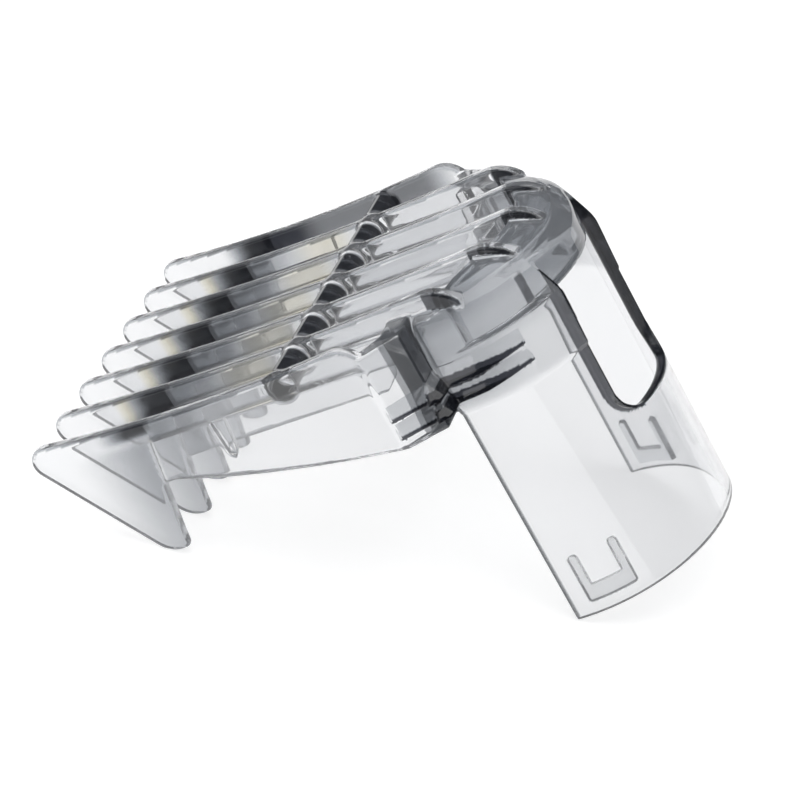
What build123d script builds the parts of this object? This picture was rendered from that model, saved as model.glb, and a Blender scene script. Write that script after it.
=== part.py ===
from build123d import *
import math
import os

os.makedirs("parts", exist_ok=True)

# A clip-on guide comb for a hair clipper, one clear injection moulding, built region by region.
# The comb is drawn in its own tilted frame: u runs from the tooth tips to the sleeve and
# w runs up along the sleeve. That frame leans so that the comb rests on the seven beaks and
# on the two lower corners of the sleeve, with +Z up and the teeth pointing to -Y.

# Driving dimensions, millimetres
tooth_count = 7
tooth_pitch = 7.2
tooth_thickness = 1.6
web_thickness = 1.1
wall_thickness = 1.2

nose_u = -44.8
nose_w = 41.0
nose_radius = 2.0
chin_u = -35.4
chin_w = 29.2
chin_radius = 3.2
chin_end_angle = 285
beak_back_top_u = -32.0
top_middle_u = -20
top_middle_w = 41.9
top_root_w = 42.5
rail_bottom_w = 39.4
web_bottom_w = 33.4

wall_x = 22.2
corner_u = -4.0
corner_x = 19.4
wall_front_bottom_w = 34.3

# Lower edge of a side wall, from the beak to the sleeve, as (u, w)
wall_edge = ((-31.4, 34.2), (-20.5, 31.5), (-10.9, 29.9), (0, 28.8))
wall_edge_tangents = ((1, -0.12), (1, -0.08))

sleeve_radius = 15.9
sleeve_wall = 1.2
shoulder_start_w = 35.2
rim_w = 39.4
rim_half_width = 16.3
rim_depth = 13.6
corner_top_w = 40.6
wall_blank_w = 24.0
corner_setback = 1.2
corner_thickness = 2.8

# Collar terraces above the plain sleeve: height of each foot, half width and depth
terraces = ((28.2, 16.15, 16.0), (30.4, 16.35, 16.05), (32.6, 16.6, 16.1))

arch_bottom_w = 34.8
arch_edge_w = 40.4
arch_top_w = 41.8
arch_slope = 64
arch_pocket_half_width = 13.1
arch_pocket_depth = 12.0
arch_shelf = 1.6
arch_ring_half_width = 14.4
arch_ring_depth = 13.4
arch_inner_u = 8.7
arch_foot_u = 1.2
arch_wall = 1.1

# Front edge of the arch between its middle and its foot, as (x, u)
arch_front = ((8, 6.4), (13.6, 3.4))

# Where each tooth top starts to drop and where it ends, from the middle tooth outwards
root_start_u = (8.0, 6.0, 1.6, -7.0)
root_end_u = (12.2, 10.9, 6.0, corner_u)
root_end_w = (40.5, 40.5, 40.5, corner_top_w)
web_rise_u = -6.0
web_root_gap = 1.5
web_overlap = 1

window_half_width = 8.15
window_bottom_w = 18.0
window_corner = 3.6
window_corner_inset = window_corner * (1 - math.cos(math.radians(45)))

rod_u = -14.3
rod_w = 40.4
rod_diameter = 3.2

grip_height = 0.9
grip_depth = 1.1
grip_end_angle = 36
grip_middle_depth = 0.77
grip_inner_share = 0.9

latch_rib_height = 0.7
latch_bottom_w = 1.3
latch_top_w = 7.3
latch_bar_w = 3.2
latch_rib_turn = 3.6
latch_angles = (8, 26.5)

guide_rib_u = -23.4
guide_rib_width = 1.8
guide_rib_height = 1.2
guide_rib_top_w = 39.4
guide_rib_bottom_w = 34.4

# Longer than any part of the comb, for cuts that run right through, and a short overrun
cut_reach = 50
overrun = 0.5

# The lean puts the rounded chins of the beaks and the sleeve's lower corners on one level
lean = math.atan2(chin_w, -chin_u) - math.asin(chin_radius / math.hypot(chin_u, chin_w))
lean_cos = math.cos(lean)
lean_sin = math.sin(lean)

# The noses and the back of the sleeve set the middle of the footprint
front_y = nose_u * lean_cos - nose_w * lean_sin - nose_radius
back_y = sleeve_radius * lean_cos
shift_y = -(front_y + back_y) / 2

# Angle of the straight underside of a beak, tangent to its nose and its chin
nose_to_chin = math.hypot(chin_u - nose_u, chin_w - nose_w)
jaw_direction = math.atan2(chin_w - nose_w, chin_u - nose_u)
jaw_angle = math.degrees(jaw_direction - math.acos((nose_radius - chin_radius) / nose_to_chin))

# The beak's back face is a straight line from the end of the chin to the foot of the rail
chin_end_u = chin_u + chin_radius * math.cos(math.radians(chin_end_angle))
chin_end_w = chin_w + chin_radius * math.sin(math.radians(chin_end_angle))
beak_back_slope = (beak_back_top_u - chin_end_u) / (rail_bottom_w - chin_end_w)

outer_tooth_x = (tooth_count - 1) / 2 * tooth_pitch
sleeve_inner = sleeve_radius - sleeve_wall


def beak_back(w):
    """Position along u of the beak's back face at height w."""
    return chin_end_u + (w - chin_end_w) * beak_back_slope


def plan(w=0.0):
    """Plane across the sleeve at height w, with X across the comb and local Y along u."""
    base = Plane(origin=(0, shift_y, 0), x_dir=(1, 0, 0), z_dir=(0, -lean_sin, lean_cos))
    return base.offset(w)


def profile(x=0.0):
    """Plane parallel to the teeth at x, with local X along u and local Y along w."""
    return Plane(origin=(x, shift_y, 0), x_dir=(0, lean_cos, lean_sin), z_dir=(1, 0, 0))


def save(piece, name):
    piece.part.label = name
    export_step(piece.part, f"parts/{name}.step")


# Side walls: flat along the outer teeth, turned in at the corner, ending at the sleeve's edge
walls = {}
for side, name in ((1, "right_side_wall"), (-1, "left_side_wall")):
    with BuildPart() as wall:
        with BuildSketch(plan(wall_blank_w)):
            with BuildLine():
                Polyline(
                    (side * (wall_x - wall_thickness), beak_back(wall_blank_w)),
                    (side * wall_x, beak_back(wall_blank_w)),
                    (side * wall_x, corner_u),
                    (side * corner_x, 0),
                    (side * sleeve_inner, 0),
                    (side * sleeve_inner, -corner_thickness),
                    (side * (corner_x - corner_setback), -corner_thickness),
                    (side * (wall_x - wall_thickness), corner_u - corner_setback),
                    close=True,
                )
            make_face()
        extrude(amount=corner_top_w - wall_blank_w)
        with BuildSketch(profile(side * sleeve_inner - cut_reach / 2)):
            with BuildLine():
                low_edge = Spline(*wall_edge, tangents=wall_edge_tangents)
                Polyline(
                    low_edge @ 1,
                    (overrun, wall_edge[-1][1]),
                    (overrun, corner_top_w),
                    (corner_u, corner_top_w),
                    (corner_u, rail_bottom_w),
                    (beak_back_top_u, rail_bottom_w),
                    (beak_back(wall_front_bottom_w), wall_front_bottom_w),
                    low_edge @ 0,
                )
            make_face()
        extrude(amount=cut_reach, mode=Mode.INTERSECT)
    walls[side] = wall.part
    save(wall, name)

# Sleeve: a half tube with a rounded shoulder at the top and a slot-shaped window in its back
with BuildPart() as sleeve:
    with BuildSketch(plan(0)):
        Circle(sleeve_radius)
        Circle(sleeve_inner, mode=Mode.SUBTRACT)
        with Locations((0, -sleeve_radius)):
            Rectangle(4 * sleeve_radius, 2 * sleeve_radius, mode=Mode.SUBTRACT)
    extrude(amount=shoulder_start_w)
    for foot_w, half_width, depth in terraces:
        with BuildSketch(plan(foot_w)):
            Ellipse(half_width, depth)
            Circle(sleeve_inner, mode=Mode.SUBTRACT)
        extrude(amount=shoulder_start_w - foot_w)
    with BuildSketch(plan(shoulder_start_w)):
        Ellipse(terraces[-1][1], terraces[-1][2])
    with BuildSketch(plan(rim_w)):
        Ellipse(rim_half_width, rim_depth)
    loft()
    with BuildSketch(plan(arch_bottom_w)):
        Ellipse(arch_ring_half_width, arch_ring_depth)
    extrude(amount=cut_reach, mode=Mode.SUBTRACT)
    with BuildSketch(plan(0)):
        with Locations((0, -sleeve_radius)):
            Rectangle(4 * sleeve_radius, 2 * sleeve_radius)
    extrude(amount=cut_reach, mode=Mode.SUBTRACT)
    with BuildSketch(Plane(plan().origin, x_dir=(1, 0, 0), z_dir=(0, -lean_cos, -lean_sin))):
        with BuildLine():
            window_arc = ThreePointArc(
                (-window_half_width, window_bottom_w + window_corner),
                (-window_half_width + window_corner_inset, window_bottom_w + window_corner_inset),
                (-window_half_width + window_corner, window_bottom_w),
            )
            other_arc = mirror(window_arc, about=Plane.YZ)
            Line(window_arc @ 1, other_arc @ 1)
            Polyline(
                window_arc @ 0,
                (-window_half_width, cut_reach),
                (window_half_width, cut_reach),
                other_arc @ 0,
            )
        make_face()
    extrude(amount=-cut_reach, mode=Mode.SUBTRACT)
save(sleeve, "sleeve")

# Arch: the shelf that gathers the tooth roots, with a sloping top, a ring inside the sleeve
# and a pocket underneath
with BuildPart() as arch:
    with BuildSketch(plan(arch_bottom_w)):
        Ellipse(arch_ring_half_width, arch_ring_depth)
    extrude(amount=rim_w - arch_bottom_w)
    with BuildSketch(plan(rim_w)):
        Ellipse(rim_half_width, rim_depth)
    extrude(amount=arch_edge_w - rim_w)
    with BuildSketch(plan(arch_edge_w)):
        Ellipse(rim_half_width, rim_depth)
    extrude(amount=arch_top_w - arch_edge_w, taper=arch_slope)
    with BuildSketch(plan(arch_bottom_w)):
        Ellipse(arch_pocket_half_width, arch_pocket_depth)
    extrude(amount=arch_edge_w - arch_shelf - arch_bottom_w, mode=Mode.SUBTRACT)
    with BuildSketch(plan(arch_edge_w - arch_shelf)):
        Ellipse(arch_pocket_half_width, arch_pocket_depth)
    extrude(amount=arch_top_w - arch_edge_w, taper=arch_slope, mode=Mode.SUBTRACT)
    with BuildSketch(plan(arch_bottom_w - overrun)):
        with BuildLine():
            front = Spline(
                (-rim_half_width + arch_wall, arch_foot_u),
                *[(-front_x, front_u) for front_x, front_u in reversed(arch_front)],
                (0, arch_inner_u),
                *arch_front,
                (rim_half_width - arch_wall, arch_foot_u),
                tangents=((0.1, 1), (0.1, -1)),
            )
            Polyline(
                front @ 1,
                (rim_half_width - arch_wall, 0),
                (cut_reach, 0),
                (cut_reach, -cut_reach),
                (-cut_reach, -cut_reach),
                (-cut_reach, 0),
                (-rim_half_width + arch_wall, 0),
                front @ 0,
            )
        make_face()
    extrude(amount=cut_reach, mode=Mode.SUBTRACT)
    add(sleeve.part, mode=Mode.SUBTRACT)
save(arch, "arch")

# Teeth: a hooked beak and a top rail of full thickness, with a thinner web hanging below
for index in range(tooth_count):
    x = (index - (tooth_count - 1) / 2) * tooth_pitch
    is_outer = index in (0, tooth_count - 1)
    rank = abs(index - (tooth_count - 1) // 2)
    with BuildPart() as tooth:
        with BuildSketch(profile(x - tooth_thickness / 2)):
            with BuildLine():
                nose = CenterArc((nose_u, nose_w), nose_radius, 90, 270 + jaw_angle)
                chin = CenterArc(
                    (chin_u, chin_w), chin_radius, 360 + jaw_angle, chin_end_angle - 360 - jaw_angle
                )
                Line(nose @ 1, chin @ 0)
                top = ThreePointArc(
                    nose @ 0, (top_middle_u, top_middle_w), (root_start_u[rank], top_root_w)
                )
                drop = TangentArc(top @ 1, (root_end_u[rank], root_end_w[rank]), tangent=top % 1)
                Polyline(
                    drop @ 1,
                    (root_end_u[rank], rail_bottom_w),
                    (beak_back_top_u, rail_bottom_w),
                    chin @ 1,
                )
            make_face()
        extrude(amount=tooth_thickness)
        if not is_outer:
            with BuildSketch(profile(x - web_thickness / 2)):
                with BuildLine():
                    Polyline(
                        (beak_back(web_bottom_w) - web_overlap, web_bottom_w),
                        (web_rise_u, web_bottom_w),
                        (root_start_u[rank] - web_root_gap, rail_bottom_w),
                        (root_start_u[rank] - web_root_gap, rail_bottom_w + overrun),
                        (beak_back(web_bottom_w) - web_overlap, rail_bottom_w + overrun),
                        close=True,
                    )
                make_face()
            extrude(amount=web_thickness)
        for neighbour in (arch.part, sleeve.part, walls[1], walls[-1]):
            add(neighbour, mode=Mode.SUBTRACT)
    save(tooth, f"tooth_{index + 1}")

# Tie rod: a round bar through the teeth, here one segment in each gap
with BuildPart() as tie_rod:
    for gap in range(tooth_count - 1):
        gap_x = -outer_tooth_x + gap * tooth_pitch + tooth_thickness / 2
        with BuildSketch(profile(gap_x)):
            with Locations((rod_u, rod_w)):
                Circle(rod_diameter / 2)
        extrude(amount=tooth_pitch - tooth_thickness)
save(tie_rod, "tie_rod")

for side, name in ((1, "right"), (-1, "left")):
    # Finger grips: two ledges that wrap the corner and run out on the round of the sleeve
    for (foot_w, half_width, depth), height_name in zip(terraces[1:], ("lower", "upper")):
        end = math.radians(grip_end_angle)
        middle = math.radians(grip_end_angle / 2)
        bulge = half_width + grip_middle_depth
        with BuildPart() as grip:
            with BuildSketch(plan(foot_w - grip_height / 2)):
                with BuildLine():
                    outer = ThreePointArc(
                        (side * (half_width + grip_depth), grip_depth),
                        (side * bulge * math.cos(middle), bulge * math.sin(middle)),
                        (side * half_width * math.cos(end), depth * math.sin(end)),
                    )
                    Polyline(
                        outer @ 1,
                        (
                            side * half_width * grip_inner_share * math.cos(end),
                            depth * grip_inner_share * math.sin(end),
                        ),
                        (side * (sleeve_inner + 0.6), -0.5),
                        (side * (corner_x - 0.3), -0.5),
                        (side * (wall_x - 0.7), corner_u + 0.6),
                        (side * (corner_x + 0.4), grip_depth),
                        outer @ 0,
                    )
                make_face()
            extrude(amount=grip_height)
            add(sleeve.part, mode=Mode.SUBTRACT)
            add(walls[side], mode=Mode.SUBTRACT)
            with BuildSketch(plan(foot_w - grip_height)):
                Circle(sleeve_inner + 0.4)
            extrude(amount=2 * grip_height, mode=Mode.SUBTRACT)
        save(grip, f"grip_{height_name}_{name}")

    # Latch: two upright ribs joined by a bar, inside the sleeve near its lower corner, each cut
    # from a wedge that reaches past the sleeve's inner face
    wedge = sleeve_radius + sleeve_wall
    with BuildPart() as latch:
        for low, high, bottom, top in (
            (latch_angles[0], latch_angles[0] + latch_rib_turn, latch_bottom_w, latch_top_w),
            (latch_angles[1], latch_angles[1] + latch_rib_turn, latch_bottom_w, latch_top_w),
            (latch_angles[0], latch_angles[1] + latch_rib_turn, latch_bottom_w, latch_bar_w),
        ):
            with BuildSketch(plan(bottom)):
                with BuildLine():
                    Polyline(
                        (0, 0),
                        (side * wedge * math.cos(math.radians(low)), wedge * math.sin(math.radians(low))),
                        (side * wedge * math.cos(math.radians(high)), wedge * math.sin(math.radians(high))),
                        close=True,
                    )
                make_face()
                Circle(sleeve_inner, mode=Mode.INTERSECT)
                Circle(sleeve_inner - latch_rib_height, mode=Mode.SUBTRACT)
            extrude(amount=top - bottom)
    save(latch, f"latch_{name}")

    # Guide rib: a short upright rib inside each side wall, behind the outer beak
    with BuildPart() as guide_rib:
        rib_x = wall_x - wall_thickness if side > 0 else -wall_x + wall_thickness + guide_rib_height
        with BuildSketch(profile(rib_x - guide_rib_height)):
            with BuildLine():
                Polyline(
                    (guide_rib_u - guide_rib_width / 2, guide_rib_top_w),
                    (guide_rib_u + guide_rib_width / 2, guide_rib_top_w),
                    (guide_rib_u + guide_rib_width / 6, guide_rib_bottom_w),
                    (guide_rib_u - guide_rib_width / 2, guide_rib_bottom_w),
                    close=True,
                )
            make_face()
        extrude(amount=guide_rib_height)
    save(guide_rib, f"guide_rib_{name}")
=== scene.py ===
import math

import bpy
import numpy as np
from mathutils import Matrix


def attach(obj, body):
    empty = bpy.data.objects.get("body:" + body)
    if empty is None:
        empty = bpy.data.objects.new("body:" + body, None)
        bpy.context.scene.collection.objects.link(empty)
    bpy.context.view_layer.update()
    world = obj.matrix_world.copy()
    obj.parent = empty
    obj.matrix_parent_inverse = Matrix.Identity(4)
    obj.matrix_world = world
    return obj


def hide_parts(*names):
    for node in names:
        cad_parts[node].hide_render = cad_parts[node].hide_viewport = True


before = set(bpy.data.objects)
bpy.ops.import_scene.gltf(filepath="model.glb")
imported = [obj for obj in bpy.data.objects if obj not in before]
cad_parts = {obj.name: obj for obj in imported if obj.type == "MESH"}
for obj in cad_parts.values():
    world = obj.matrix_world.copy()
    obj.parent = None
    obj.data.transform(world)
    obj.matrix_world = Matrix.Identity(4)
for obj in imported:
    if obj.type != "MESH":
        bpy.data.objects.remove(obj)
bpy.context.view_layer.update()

import openvdb
from mathutils import Matrix, Vector

# The comb is one clear moulding, so its surface is made as one skin: every region is a distance
# field in the comb's own tilted frame (x across, u from the tooth tips to the sleeve, w up the
# sleeve, all in millimetres), the fields are blended with small fillets, and the skin is then
# shared out to one open piece per CAD node, so no inner faces lie inside the clear plastic.

# The grid's cell, and how far from the surface its field is kept
STEP = 0.2
BAND = 2.0
MARGIN = 1.2

# Fillets between regions, and the rounding of a region's own edges
FILLET = 0.35
ROD_FILLET = 0.6
WEB_FILLET = 0.2
RIB_FILLET = 0.15
GRIP_FILLET = 0.1
TOP_ROUND = 0.4
WALL_ROUND = 0.25
CUT_ROUND = 0.2
RIB_ROUND = 0.15
GRIP_ROUND = 0.12
TOOTH_ROUND = 0.5

TOOTH_COUNT = 7
MIDDLE_TOOTH = 3
PITCH = 7.2
TOOTH_HALF = 0.8
WEB_HALF = 0.55

# A tooth's nose and chin as (u, w, radius), its top, and where each top drops, middle tooth first
NOSE = (-44.8, 41.0, 2.0)
CHIN = (-35.4, 29.2, 3.2)
CHIN_END = 285
BACK_TOP_U = -32.0
TOP_MIDDLE = (-20.0, 41.9)
ROOT_W = 42.5
RAIL_W = 39.4
WEB_W = 33.4
WEB_START_U = -34
WEB_RISE_U = -6
WEB_ROOT_GAP = 1.5
ROOT_START = (8.0, 6.0, 1.6, -7.0)
ROOT_END = ((12.2, 40.5), (10.9, 40.5), (6.0, 40.5), (-3.9, 40.8))

WALL_X = 22.2
WALL = 1.2
CORNER_U = -4.0
CORNER_X = 19.4
CORNER_W = 40.6
CORNER_THICK = 2.8
WALL_EDGE = ((-31.4, 34.2), (-26, 32.7), (-20.5, 31.5), (-15, 30.5), (-10.9, 29.9), (-5, 29.2),
             (0, 28.8))

SLEEVE_R = 15.9
INNER_R = SLEEVE_R - WALL
RIM = (16.3, 13.6)
RIM_W = 39.4
SHOULDER_W = 35.2
ARCH_EDGE_W = 40.4
ARCH_EDGE = (16.2, 12.2)
ARCH_TOP_W = 41.8
ARCH_TOP = (12.6, 8.4)
ARCH_CROWN = (7.2, 3.0)
ARCH_W = 34.8
RING = (15.2, 14.3)
SHELF = 1.5
POCKET = (13.1, 12.0)
# The collar's terraces: height of each foot, half width and depth
TERRACES = ((28.2, 16.15, 16.0), (30.4, 16.35, 16.05), (32.6, 16.6, 16.1))
# How much squarer than an ellipse the collar's plan is at the rim
SQUARER = 0.15
# The arch's front edge, as (x, u), and the straight ends beyond its last point
ARCH_FRONT = ((0, 8.7), (8, 6.4), (-8, 6.4), (13.6, 3.4), (-13.6, 3.4))
FRONT_END = (13.6, 3.4)
FRONT_END_SLOPE = 1.375
FRONT_HALF = 15.2
HOLLOW_W = 33.8

WINDOW_X = 8.15
WINDOW_W = 18.0
WINDOW_R = 3.6

ROD = (-14.3, 40.4, 1.6)
ROD_END_X = 21.4

GRIP_OUT = 1.7
GRIP_RISE = 2.0
GRIP_END = 36
GRIP_FADE = 20

# The latch's ribs and bar: angles from the comb's side, and heights
LATCHES = ((8, 11.6, 1.3, 7.3), (26.5, 30.1, 1.3, 7.3), (8, 30.1, 1.3, 3.2))
LATCH_IN = 0.75
GUIDE_RIB = ((-24.3, RAIL_W), (-22.5, RAIL_W), (-23.1, 34.9), (-23.6, 34.4), (-24.1, 34.9))
GUIDE_RIB_X = 20.6
GUIDE_RIB_HALF = 0.6


def arc(cx, cy, r, start, end, n=14):
    """Points on an arc between two angles in degrees."""
    return [(cx + r * math.cos(math.radians(a)), cy + r * math.sin(math.radians(a)))
            for a in np.linspace(start, end, n)]


def arc_between(centre, r, p, q, n):
    """Points on the arc of radius r round centre that leads from p to q."""
    t0 = math.atan2(p[1] - centre[1], p[0] - centre[0])
    t1 = math.atan2(q[1] - centre[1], q[0] - centre[0])
    return [(centre[0] + r * math.cos(t), centre[1] + r * math.sin(t)) for t in np.linspace(t0, t1, n)]


def arc_through(p, q, s, n=24):
    """Points on the circle arc from p through q to s, and the circle's centre."""
    a = np.array([[q[0] - p[0], q[1] - p[1]], [s[0] - p[0], s[1] - p[1]]]) * 2
    b = np.array([q[0] ** 2 - p[0] ** 2 + q[1] ** 2 - p[1] ** 2,
                  s[0] ** 2 - p[0] ** 2 + s[1] ** 2 - p[1] ** 2])
    centre = np.linalg.solve(a, b)
    return arc_between(centre, math.hypot(p[0] - centre[0], p[1] - centre[1]), p, s, n), centre


def arc_tangent(p, direction, s, n=12):
    """Points on the arc that leaves p along direction and ends at s."""
    d = np.array(direction) / np.linalg.norm(direction)
    normal = np.array([-d[1], d[0]])
    chord = np.array(s) - np.array(p)
    r = (chord @ chord) / (2 * (chord @ normal))
    return arc_between(np.array(p) + normal * r, abs(r), p, s, n)


def outline_field(a, b, points):
    """Distance from a closed outline over the plane a by b, negative inside."""
    points = np.array(points)
    a, b = a[:, None], b[None, :]
    nearest = np.full((a.shape[0], b.shape[1]), np.inf)
    inside = np.zeros(nearest.shape, bool)
    for p, q in zip(points, np.roll(points, -1, axis=0)):
        e = q - p
        length = e @ e
        if length < 1e-12:
            continue
        t = np.clip(((a - p[0]) * e[0] + (b - p[1]) * e[1]) / length, 0, 1)
        nearest = np.minimum(nearest, (a - p[0] - t * e[0]) ** 2 + (b - p[1] - t * e[1]) ** 2)
        if p[1] != q[1]:
            cross = p[0] + (b - p[1]) * e[0] / e[1]
            inside ^= ((p[1] > b) != (q[1] > b)) & (a < cross)
    return np.where(inside, -1, 1) * np.sqrt(nearest)


def both(d1, d2, r):
    """Where two fields are both negative, with the edge between them rounded to r."""
    corner = np.hypot(np.maximum(d1 + r, 0), np.maximum(d2 + r, 0))
    return np.minimum(np.maximum(d1, d2) + r, 0) + corner - r


def ellipse_field(x, u, a, b, power=2.0):
    """Distance along the radius from an ellipse about the sleeve's axis, squarer for a higher power."""
    k = ((np.abs(x) / a) ** power + (np.abs(u) / b) ** power + 1e-9) ** (1 / power)
    return np.hypot(x, u) * (1 - 1 / k)


def slot_field(x, w):
    """Distance from the window slot's outline, seen from behind; the slot is open at its top."""
    beside = np.abs(x) - WINDOW_X
    below = WINDOW_W + WINDOW_R - w
    return np.where(below > 0, np.hypot(np.maximum(beside + WINDOW_R, 0), np.maximum(below, 0)) - WINDOW_R,
                    beside)


def ease(value, start, end):
    """0 before start, 1 after end, smooth between."""
    t = np.clip((value - start) / (end - start), 0, 1)
    return t * t * (3 - 2 * t)


# The lean of the comb at rest, from its beaks' chins and the sleeve's lower corners
lean = math.atan2(CHIN[1], -CHIN[0]) - math.asin(CHIN[2] / math.hypot(CHIN[0], CHIN[1]))
front_y = NOSE[0] * math.cos(lean) - NOSE[1] * math.sin(lean) - NOSE[2]
shift_y = -(front_y + SLEEVE_R * math.cos(lean)) / 2


def turned(vectors):
    """Directions or points turned from the comb's frame to the way it leans at rest."""
    x, u, w = vectors[:, 0], vectors[:, 1], vectors[:, 2]
    return np.stack([x, u * math.cos(lean) - w * math.sin(lean), u * math.sin(lean) + w * math.cos(lean)],
                    axis=1)


def to_rest(points):
    """Millimetres in the comb's frame to metres in the shared frame."""
    return (turned(points) + (0, shift_y, 0)) * 0.001


# The grid and the growing field
xs = np.arange(-24, 24 + STEP / 2, STEP)
us = np.arange(-48, 18, STEP)
ws = np.arange(-1.5, 44.5, STEP)
field = np.full((len(xs), len(us), len(ws)), BAND, np.float32)
owner = np.zeros(field.shape, np.int8)
names = []


def block(x0, x1, u0, u1, w0, w1):
    """The slices of the grid over a box, with a margin round it."""
    return tuple(slice(np.searchsorted(g, lo - MARGIN), np.searchsorted(g, hi + MARGIN))
                 for g, lo, hi in ((xs, x0, x1), (us, u0, u1), (ws, w0, w1)))


def side_block(side, x0, x1, *rest):
    """A block between x0 and x1 on the comb's side that has the sign side."""
    return block(min(side * x0, side * x1), max(side * x0, side * x1), *rest)


def axes(at):
    """The grid's x, u and w over a block, each along its own axis."""
    return xs[at[0]][:, None, None], us[at[1]][None, :, None], ws[at[2]][None, None, :]


def join(at, d, name, k=FILLET):
    """Blend a region's field into the comb's, and note where it's the nearest."""
    if name not in names:
        names.append(name)
    old = field[at]
    d = d.astype(np.float32)
    h = np.maximum(k - np.abs(old - d), 0) / k
    owner[at] = np.where(d < old, names.index(name), owner[at])
    field[at] = np.minimum(old, d) - h * h * k / 4


def slab_field(at, outline, x_middle, half):
    """An outline over u and w, and how far from it a plate of that outline reaches across x."""
    tall = outline_field(us[at[1]], ws[at[2]], outline)[None, :, :]
    return tall, np.abs(xs[at[0]] - x_middle)[:, None, None] - half


# Sleeve and arch: a stack of ellipses, smoothed above SMOOTH_W, hollow inside and cut off in front
SMOOTH_W = 32
SMOOTH_BY = np.linspace(-1, 1, 9)
STEP_HALF = 0.05
at = block(-17, 17, 0, 17, 0, ARCH_TOP_W)
x, u, w = axes(at)
stack = [(-5, SLEEVE_R, SLEEVE_R), (TERRACES[0][0] - STEP_HALF, SLEEVE_R, SLEEVE_R),
         (TERRACES[0][0] + STEP_HALF, *TERRACES[0][1:]), (SHOULDER_W, *TERRACES[-1][1:]),
         (RIM_W, *RIM), (ARCH_EDGE_W, *ARCH_EDGE), (ARCH_TOP_W, *ARCH_TOP),
         (ARCH_TOP_W + 2, *ARCH_CROWN)]
heights, halves, depths = zip(*stack)
smoothing = np.where(w > SMOOTH_W, 1.0, 0.0)
half_width = sum(np.interp(w + s * smoothing, heights, halves) for s in SMOOTH_BY) / len(SMOOTH_BY)
depth = sum(np.interp(w + s * smoothing, heights, depths) for s in SMOOTH_BY) / len(SMOOTH_BY)
# The distance shrinks where the profile slopes
fall = np.ones_like(w)
for (w0, _, b0), (w1, _, b1) in zip(stack[3:], stack[4:]):
    fall = np.where(w > w0, 1 / math.hypot(1, (b1 - b0) / (w1 - w0)), fall)
power = 2 + SQUARER * np.clip((w - 36) / 3.4, 0, 1)
outside = both(ellipse_field(x, u, half_width, depth, power) * fall, w - ARCH_TOP_W, TOP_ROUND)
pocket = np.maximum(outside + SHELF, ellipse_field(x, u, *POCKET))
bore = np.hypot(x, u) - INNER_R
front_curve = np.polyfit(*zip(*ARCH_FRONT), 4)
ahead = u - np.where(np.abs(x) < FRONT_END[0], np.polyval(front_curve, x),
                     FRONT_END[1] - (np.abs(x) - FRONT_END[0]) * FRONT_END_SLOPE)
hollow = np.minimum(np.maximum(bore, w - ARCH_W),
                    np.maximum(np.maximum(ahead * 0.85, np.abs(x) - FRONT_HALF), HOLLOW_W - w))
body = both(outside, -np.minimum(hollow, pocket), WALL_ROUND)
body = both(body, -u, CUT_ROUND)
body = both(body, -w, CUT_ROUND)
ring = np.maximum(ellipse_field(x, u, *RING), ARCH_W - w)
slot = np.maximum(np.maximum(slot_field(x, w), w - RIM_W), -ring)
body = both(body, -slot, CUT_ROUND)
join(at, body, "sleeve")

# Side walls, turned in at the corners
profile = [*WALL_EDGE, (0.5, WALL_EDGE[-1][1]), (0.5, CORNER_W + 0.2), (CORNER_U - 1, CORNER_W + 0.2),
           (CORNER_U - 1, RAIL_W), (WEB_START_U, RAIL_W), (WEB_START_U, 34.3)]
floor_plan = [(WALL_X - WALL, WEB_START_U), (WALL_X, WEB_START_U), (WALL_X, CORNER_U), (CORNER_X, 0),
              (INNER_R, 0), (INNER_R, -CORNER_THICK), (CORNER_X - WALL, -CORNER_THICK),
              (WALL_X - WALL, CORNER_U - WALL)]
for side, name in ((1, "right_side_wall"), (-1, "left_side_wall")):
    at = side_block(side, 14, 23, WEB_START_U, 1, 28, 41)
    flat = outline_field(xs[at[0]] * side, us[at[1]], floor_plan)[:, :, None]
    tall = outline_field(us[at[1]], ws[at[2]], profile)[None, :, :]
    join(at, both(flat, tall, WALL_ROUND), name)

# Teeth: hooked beaks and rails, with thinner webs on the inner five
reach = math.hypot(CHIN[0] - NOSE[0], CHIN[1] - NOSE[1])
jaw = math.degrees(math.atan2(CHIN[1] - NOSE[1], CHIN[0] - NOSE[0])
                   - math.acos((NOSE[2] - CHIN[2]) / reach))
for index in range(TOOTH_COUNT):
    rank = abs(index - MIDDLE_TOOTH)
    x0 = (index - MIDDLE_TOOTH) * PITCH
    top_end = (ROOT_START[rank], ROOT_W)
    top, centre = arc_through((NOSE[0], NOSE[1] + NOSE[2]), TOP_MIDDLE, top_end)
    along = (centre[1] - top_end[1], top_end[0] - centre[0])
    if along[0] < 0:
        along = (-along[0], -along[1])
    root = ROOT_END[rank]
    points = arc(*NOSE, 90, 360 + jaw) + arc(*CHIN, 360 + jaw, CHIN_END)
    points += [(BACK_TOP_U, RAIL_W), (root[0], RAIL_W)]
    points += arc_tangent(top_end, along, root)[::-1] + top[::-1]
    at = block(x0 - 1, x0 + 1, -47, 13, 25, 43.5)
    join(at, both(*slab_field(at, points, x0, TOOTH_HALF), TOOTH_ROUND), f"tooth_{index + 1}")
    if rank < MIDDLE_TOOTH:
        web_end = ROOT_START[rank] - WEB_ROOT_GAP
        web = [(WEB_START_U, WEB_W), (WEB_RISE_U, WEB_W), (web_end, RAIL_W),
               (web_end, RAIL_W + 0.5), (WEB_START_U, RAIL_W + 0.5)]
        join(at, both(*slab_field(at, web, x0, WEB_HALF), RIB_ROUND), f"tooth_{index + 1}", WEB_FILLET)

# Tie rod
at = block(-21, 21, ROD[0] - 2, ROD[0] + 2, ROD[1] - 2, ROD[1] + 2)
x, u, w = axes(at)
join(at, np.maximum(np.hypot(u - ROD[0], w - ROD[1]) - ROD[2], np.abs(x) - ROD_END_X), "tie_rod", ROD_FILLET)

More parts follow.
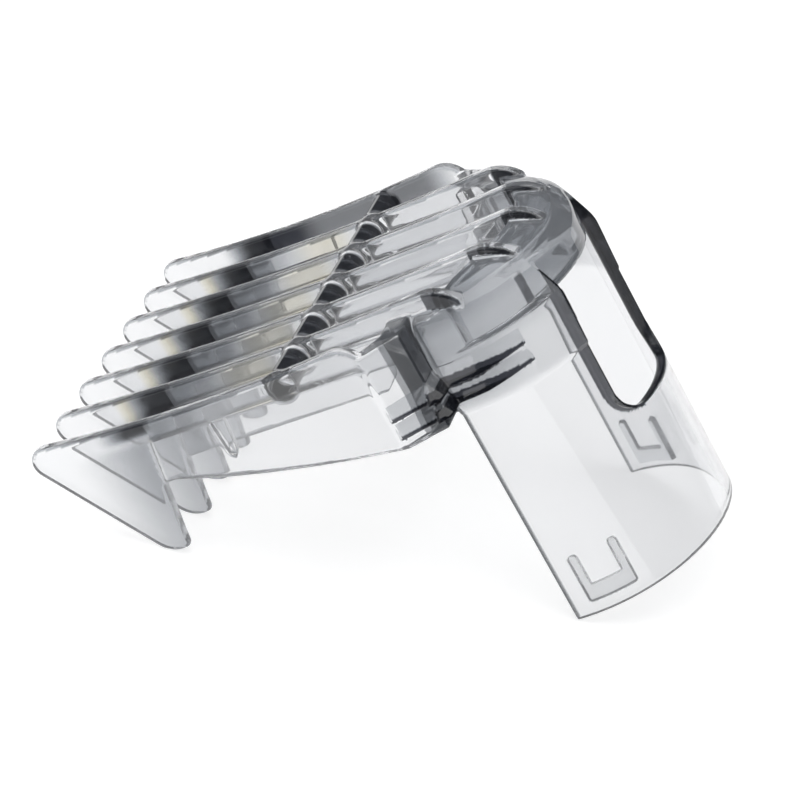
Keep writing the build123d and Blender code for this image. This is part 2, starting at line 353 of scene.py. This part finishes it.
for side, hand in ((1, "right"), (-1, "left")):
    # Finger grips: overhanging scallops that run out on the round of the sleeve
    corner_plan = [(WALL_X - 0.9, -6), (WALL_X, CORNER_U), (CORNER_X, 0), (12, 0), (12, -6)]
    for (foot, a, b), name in zip(TERRACES[1:], ("lower", "upper")):
        at = side_block(side, 12, 23, -5, 11, foot - 1, foot + 3)
        x, u, w = axes(at)
        x = x * side
        corner = outline_field(xs[at[0]] * side, us[at[1]], corner_plan)[:, :, None]
        base = np.minimum(ellipse_field(x, u, a, b), corner)
        angle = np.degrees(np.arctan2(u, x))
        fade = np.clip((GRIP_END - angle) / GRIP_FADE, 0, 1) * np.clip((u + 4.6) / 4.6, 0.0, 1)
        fade = np.where(u < 0, fade * 0.6, fade)
        out = GRIP_OUT * fade * (1 - np.clip((w - foot) / GRIP_RISE, 0, 1))
        ledge = both(base - out, foot - w, GRIP_ROUND)
        ledge = np.maximum(ledge, w - foot - GRIP_RISE)
        ledge = np.maximum(ledge, INNER_R + 0.4 - np.hypot(x, np.maximum(u, 0)))
        ledge = np.maximum(ledge, -0.9 - base)
        ledge = np.where(fade > 0.02, ledge, BAND)
        join(at, ledge, f"grip_{name}_{hand}", GRIP_FILLET)

    # Latch: two upright ribs and a bar inside the sleeve
    at = side_block(side, 10, 15, 0, 9, 0, 8)
    x, u, w = axes(at)
    x = x * side
    rho = np.hypot(x, u)
    angle = np.arctan2(u, x)
    raised = both(rho - INNER_R - 0.3, INNER_R - LATCH_IN - rho, 0.1)
    latch = np.full(field[at].shape, BAND)
    for low, high, bottom, top in LATCHES:
        middle, half_turn = math.radians((low + high) / 2), math.radians((high - low) / 2)
        beside = (np.abs(angle - middle) - half_turn) * INNER_R
        above = np.abs(w - (bottom + top) / 2) - (top - bottom) / 2
        latch = np.minimum(latch, both(both(beside, above, RIB_ROUND), raised, RIB_ROUND))
    join(at, latch, f"latch_{hand}", RIB_FILLET)

    # Guide rib inside the side wall
    at = side_block(side, 19, 22, -26, -21, 33, 41)
    rib = slab_field(at, GUIDE_RIB, side * GUIDE_RIB_X, GUIDE_RIB_HALF)
    join(at, both(*rib, CUT_ROUND), f"guide_rib_{hand}", RIB_FILLET)

# One skin from the field
grid = openvdb.FloatGrid(BAND)
grid.copyFromArray(np.clip(field, -BAND, BAND))
points, triangles, quads = grid.convertToPolygons(0.0, 0.0)
faces = [tuple(int(i) for i in f) for f in quads] + [tuple(int(i) for i in f) for f in triangles]
grid_corner = np.array([xs[0], us[0], ws[0]])


def sample(values, at):
    """Values of a grid array between its cells, at points counted in cells."""
    low = np.clip(np.floor(at).astype(int), 0, np.array(values.shape) - 2)
    part = at - low
    total = 0
    for cell_corner in np.ndindex(2, 2, 2):
        weight = np.prod(np.where(cell_corner, part, 1 - part), axis=1)
        i, j, k = (low + cell_corner).T
        total = total + weight * values[i, j, k]
    return total


def sample_slopes(at):
    return np.stack([sample(g, at) for g in gradients], axis=1)


# The mesh's points move onto the field's surface, and its normals come from the field
gradients = np.gradient(field)
at_cells = points.astype(float)
for _ in range(2):
    slopes = sample_slopes(at_cells)
    steepness = np.maximum((slopes ** 2).sum(axis=1), (0.3 * STEP) ** 2)
    moved = slopes * (sample(field, at_cells) / steepness)[:, None]
    at_cells -= np.clip(moved, -0.5, 0.5)
slopes = sample_slopes(at_cells)
slopes /= np.linalg.norm(slopes, axis=1)[:, None]
normals = turned(slopes)
skin_points = at_cells * STEP + grid_corner

# The grid's faces may point inwards, which the skin as a whole shows
skin = bpy.data.meshes.new("skin")
skin.from_pydata(to_rest(skin_points).tolist(), [], faces)
skin.update()
if sum(p.normal.dot(p.center - Vector((0, 0, 0.02))) for p in skin.polygons) < 0:
    skin.flip_normals()
    skin.update()
polygon_faces = [tuple(p.vertices) for p in skin.polygons]
bpy.data.meshes.remove(skin)

# Each face goes to the node whose region is nearest, and the top of the sleeve's goes to the arch
centres = np.array([skin_points[list(f)].mean(axis=0) for f in polygon_faces])
cell = np.rint((centres - grid_corner) / STEP).astype(int)
face_owner = owner[cell[:, 0], cell[:, 1], cell[:, 2]]
names.append("arch")
in_sleeve = face_owner == names.index("sleeve")
in_ring = (ellipse_field(centres[:, 0], centres[:, 1], *RING) < 0.15) & (centres[:, 2] > ARCH_W - 0.2)
face_owner[in_sleeve & (in_ring | (centres[:, 2] > RIM_W))] = names.index("arch")


def plastic():
    """Clear moulded plastic with painted shade: a point attribute darkens it towards black and cuts its
    transmission, another tints it with painted amber light; with haze and flow lines.
    """
    material = bpy.data.materials.new("smoke_clear_plastic")
    material.use_nodes = True
    tree = material.node_tree
    shader = tree.nodes["Principled BSDF"]
    shader.inputs["IOR"].default_value = 1.5

    def node(kind, **settings):
        made = tree.nodes.new(kind)
        for key, value in settings.items():
            made.inputs[key].default_value = value
        return made

    def attribute(name):
        made = tree.nodes.new("ShaderNodeAttribute")
        made.attribute_name = name
        return made.outputs["Fac"]

    def ramp(source, *stops):
        made = tree.nodes.new("ShaderNodeValToRGB")
        elements = made.color_ramp.elements
        while len(elements) < len(stops):
            elements.new(0.5)
        for element, (position, colour) in zip(elements, stops):
            element.position = position
            element.color = (*colour, 1)
        tree.links.new(source, made.inputs["Fac"])
        return made.outputs["Color"]

    def noise(**settings):
        made = node("ShaderNodeTexNoise", **settings)
        tree.links.new(where.outputs["Object"], made.inputs["Vector"])
        return made.outputs["Fac"]

    def drive(source, socket, low, high):
        """Run a shader socket from low to high as the source goes from 0 to 1."""
        made = tree.nodes.new("ShaderNodeMapRange")
        made.inputs["To Min"].default_value = low
        made.inputs["To Max"].default_value = high
        tree.links.new(source, made.inputs["Value"])
        tree.links.new(made.outputs["Result"], shader.inputs[socket])

    # Painted shade: the attribute takes the base colour from near-white clear to black and lowers the
    # transmission
    painted_shade = attribute("painted_shade")
    body = ramp(painted_shade, (0, (0.955, 0.96, 0.97)), (0.5, (0.44, 0.46, 0.49)), (1, (0.012, 0.013, 0.018)))
    # Painted amber light tints the base colour
    warmth = ramp(attribute("warm"), (0, (1, 1, 1)), (1, (0.98, 0.9, 0.66)))
    cast = tree.nodes.new("ShaderNodeMix")
    cast.data_type = "RGBA"
    cast.blend_type = "MULTIPLY"
    cast.inputs["Factor"].default_value = 1.0
    # Sockets 6 and 7 are a mix node's two colours, and its third output is their mix
    tree.links.new(body, cast.inputs[6])
    tree.links.new(warmth, cast.inputs[7])
    tree.links.new(cast.outputs[2], shader.inputs["Base Color"])
    drive(painted_shade, "Transmission Weight", 0.9, 0.5)

    where = tree.nodes.new("ShaderNodeTexCoord")
    drive(noise(Scale=180.0, Detail=4.0), "Roughness", 0.01, 0.06)
    bump = node("ShaderNodeBump", Strength=0.02, Distance=0.001)
    tree.links.new(noise(Scale=60.0, Detail=1.0), bump.inputs["Height"])
    tree.links.new(bump.outputs["Normal"], shader.inputs["Normal"])
    return material


# How much painted shade each point of the skin gets, from 0 for clear to 1 for black; it stands for the dark
# that reflections and refractions show in the clear plastic
px, pu, pw = skin_points.T
facing_x, facing_u, facing_w = slopes.T
turn_angle = np.degrees(np.arctan2(np.maximum(pu, 0), np.abs(px)))
flank = np.abs(facing_x) > 0.5

# Collar, in painted shade: it deepens with height and towards the grips, the window's edge is painted black,
# and the sleeve's front cut faces are painted dark
behind = pu > -0.3
collar = np.where(behind, 0.16 * ease(pw, 27.6, 29) + 0.12 * ease(pw, 33, 36) + 0.16 * ease(pw, 37, 39.6), 0)
collar += np.where(behind, 0.16 * ease(pw, 28, 30) * (1 - ease(turn_angle, 8, 40)), 0)
window_side = (np.abs(slot_field(px, pw)) < 0.4) & (np.abs(px) > WINDOW_X - 2.5) & (pu > 8) & (pw < 38)
window_foot = (facing_w > 0.5) & (np.abs(px) < WINDOW_X) & (pw < WINDOW_W + WINDOW_R + 0.2) & (pu > 10)
front_cut = (facing_u < -0.5) & (pu < 0.5) & (np.abs(px) > INNER_R - 0.5) & (pw < TERRACES[0][0])
collar = np.where(window_side | window_foot, 1.0, np.where(front_cut, 0.85, collar + 0.02))

# Teeth, in painted shade for the dark reflections they show: a dark patch in each beak, greyer webs, dark
# rails on the outer teeth's inner flanks, dark root ridges and dark top edges
near_top = ease(pw, 38.2, 39.6)
beak_top = np.where(px > 20.6, ease(pw, 40.1, 41.0), near_top)
patch_end = BACK_TOP_U + 0.9
in_beak = ease(pu, -38.2, -33.6) * (pu < patch_end)
after_beak = (pu >= patch_end) * (1 - ease(pu, -31, -22))
tooth_painted_shade = 0.02 + flank * (0.94 * in_beak * beak_top + 0.4 * after_beak * near_top)
tooth_painted_shade += 0.36 * ease(pu, -43, -33) * (pu < -30) * (1 - ease(pw, 39, 40.6))
inner_flank = (np.abs(px) > 20.6) & (facing_x * px < 0) & flank
rail_dark = near_top * ease(pu, -33, -31.5) * (1 - ease(pu, -9, -3)) * (1 - 0.12 * ease(pu, -27, -23))
rail_depth = np.where(px < 0, 1.0, 0.1)
tooth_painted_shade = np.where(inner_flank, np.maximum(tooth_painted_shade, rail_depth * rail_dark), tooth_painted_shade)
front_line = np.minimum(np.polyval(front_curve, px), 9)
ridge = (pu > front_line - 0.6) & (pu > 2.2) & (np.abs(px) < 16) & flank & (pw > 40)
tooth_painted_shade = np.where(ridge, 0.97, tooth_painted_shade)
edge = (np.abs(facing_x) > 0.35) & (np.abs(facing_x) < 0.93) & (facing_w > 0.3) & (pw > 41)
edge_painted_shade = 0.55 + 0.3 * ease(pu, -45, -38) * (1 - ease(pu, -28, -8))
tooth_painted_shade = np.where(edge, np.maximum(tooth_painted_shade, edge_painted_shade), tooth_painted_shade)

# Walls, in painted shade: a black face at the corner, with the thick column before it a little lighter
slab = (facing_u > 0.7) & (pu > -0.5) & (np.abs(px) > SLEEVE_R - 0.4)
column = (pu > -3.3) & (np.abs(px) < CORNER_X)
wall_painted_shade = np.where(slab, 0.92, np.where(column, 0.72, 0.02))

# Grips: painted shadow, black on the undersides and lips
lip_height = np.where(behind, 0.15 + 0.75 * np.clip((GRIP_END - turn_angle) / GRIP_FADE, 0, 1), 0.3)
lip = np.minimum(np.abs(pw - TERRACES[1][0] - 0.2), np.abs(pw - TERRACES[2][0] - 0.2)) < lip_height
grip_painted_shade = np.where((facing_w < -0.2) | lip, 1.0, 0.4)

# Rod: painted shade, dark in each gap and clear where it meets an inner tooth
gap_place = np.where(np.abs(px) > 18.5, 0.5, np.abs((px / PITCH + 0.5) % 1 - 0.5))
rod_painted_shade = 0.97 * ease(gap_place, 0.17, 0.26)

# Painted amber light where the inner teeth pass light on
warm = 0.45 * near_top * flank * ease(pu, -26, -22) * (1 - ease(pu, -19, -16.5)) * (np.abs(px) < 20)
warm += (0.7 * near_top * flank * ease(pu, -38.4, -37.4) * (1 - ease(pu, -37.0, -35.8))
         * (np.abs(px) < 20))

# Painted shade for each piece; the arch gets at least 0.42 of it
painted_shades = {"sleeve": collar, "arch": np.maximum(collar, 0.42), "tie_rod": rod_painted_shade,
          "tooth": tooth_painted_shade, "grip": grip_painted_shade, "latch": np.full_like(px, 0.3),
          "left_side_wall": wall_painted_shade, "right_side_wall": wall_painted_shade,
          "guide": np.full_like(px, 0.05)}
clear = plastic()
for number, name in enumerate(names):
    local = {}
    own = []
    for f in np.flatnonzero(face_owner == number):
        own.append(tuple(local.setdefault(v, len(local)) for v in polygon_faces[f]))
    if not own:
        raise ValueError(f"no faces for {name}")
    index = np.fromiter(local, int)
    mesh = bpy.data.meshes.new(f"{name}_skin")
    mesh.from_pydata(to_rest(skin_points[index]).tolist(), [], own)
    mesh.polygons.foreach_set("use_smooth", [True] * len(own))
    mesh.normals_split_custom_set_from_vertices(normals[index].tolist())
    mesh.update()
    mesh.materials.append(clear)
    tinted = painted_shades[name] if name in painted_shades else painted_shades[name.split("_")[0]]
    for attribute_name, values in (("painted_shade", np.clip(tinted, 0, 1)), ("warm", warm)):
        attribute = mesh.attributes.new(attribute_name, "FLOAT", "POINT")
        attribute.data.foreach_set("value", values[index].astype(np.float32))
    piece = bpy.data.objects.new(f"{name}_skin", mesh)
    bpy.context.scene.collection.objects.link(piece)
    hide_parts(name)
    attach(piece, "root")

# Floor, lit from within like a light table
FLOOR_HALF = 3.0
floor_corners = [(FLOOR_HALF * i, FLOOR_HALF * j, 0) for i, j in ((-1, -1), (1, -1), (1, 1), (-1, 1))]
floor_mesh = bpy.data.meshes.new("floor")
floor_mesh.from_pydata(floor_corners, [], [(0, 1, 2, 3)])
floor = bpy.data.objects.new("floor", floor_mesh)
bpy.context.scene.collection.objects.link(floor)
pale = bpy.data.materials.new("pale_floor")
pale.use_nodes = True
pale_inputs = pale.node_tree.nodes["Principled BSDF"].inputs
pale_inputs["Base Color"].default_value = (0.5, 0.5, 0.5, 1)
pale_inputs["Roughness"].default_value = 0.9
pale_inputs["Emission Color"].default_value = (1, 1, 1, 1)
pale_inputs["Emission Strength"].default_value = 0.75
floor_mesh.materials.append(pale)

# Light
LIT_POINT = Vector((0, 0, 0.02))
world = bpy.data.worlds.new("studio")
bpy.context.scene.world = world
world.use_nodes = True
world.node_tree.nodes["Background"].inputs["Color"].default_value = (0.06, 0.065, 0.075, 1)


def direction_of(azimuth, elevation):
    """Unit vector towards an azimuth and elevation in degrees."""
    a, e = math.radians(azimuth), math.radians(elevation)
    return Vector((math.cos(e) * math.sin(a), -math.cos(e) * math.cos(a), math.sin(e)))


def lamp(name, size, power, azimuth, elevation, distance):
    data = bpy.data.lights.new(name, "AREA")
    data.shape = "RECTANGLE"
    data.size, data.size_y = size
    data.energy = power
    obj = bpy.data.objects.new(name, data)
    direction = direction_of(azimuth, elevation)
    obj.location = LIT_POINT + direction * distance
    obj.rotation_euler = direction.to_track_quat("Z", "Y").to_euler()
    bpy.context.scene.collection.objects.link(obj)


lamp("overhead", (0.9, 0.9), 5.5, 0, 90, 0.8)
lamp("side", (0.5, 0.3), 0.8, 30, 35, 0.7)

# Camera
AZIMUTH, ELEVATION, ROLL, DISTANCE = 101.05, 34.0, 7.9, 0.304
TARGET = Vector((0.0, -0.00165, 0.01196))
camera_data = bpy.data.cameras.new("camera")
camera_data.lens = 119.6
camera_data.sensor_width = 36
camera = bpy.data.objects.new("camera", camera_data)
away = direction_of(AZIMUTH, ELEVATION)
turn = away.to_track_quat("Z", "Y").to_matrix() @ Matrix.Rotation(math.radians(ROLL), 3, "Z")
camera.matrix_world = Matrix.Translation(TARGET + away * DISTANCE) @ turn.to_4x4()
bpy.context.scene.collection.objects.link(camera)
bpy.context.scene.camera = camera
bpy.context.scene.view_settings.view_transform = "Standard"
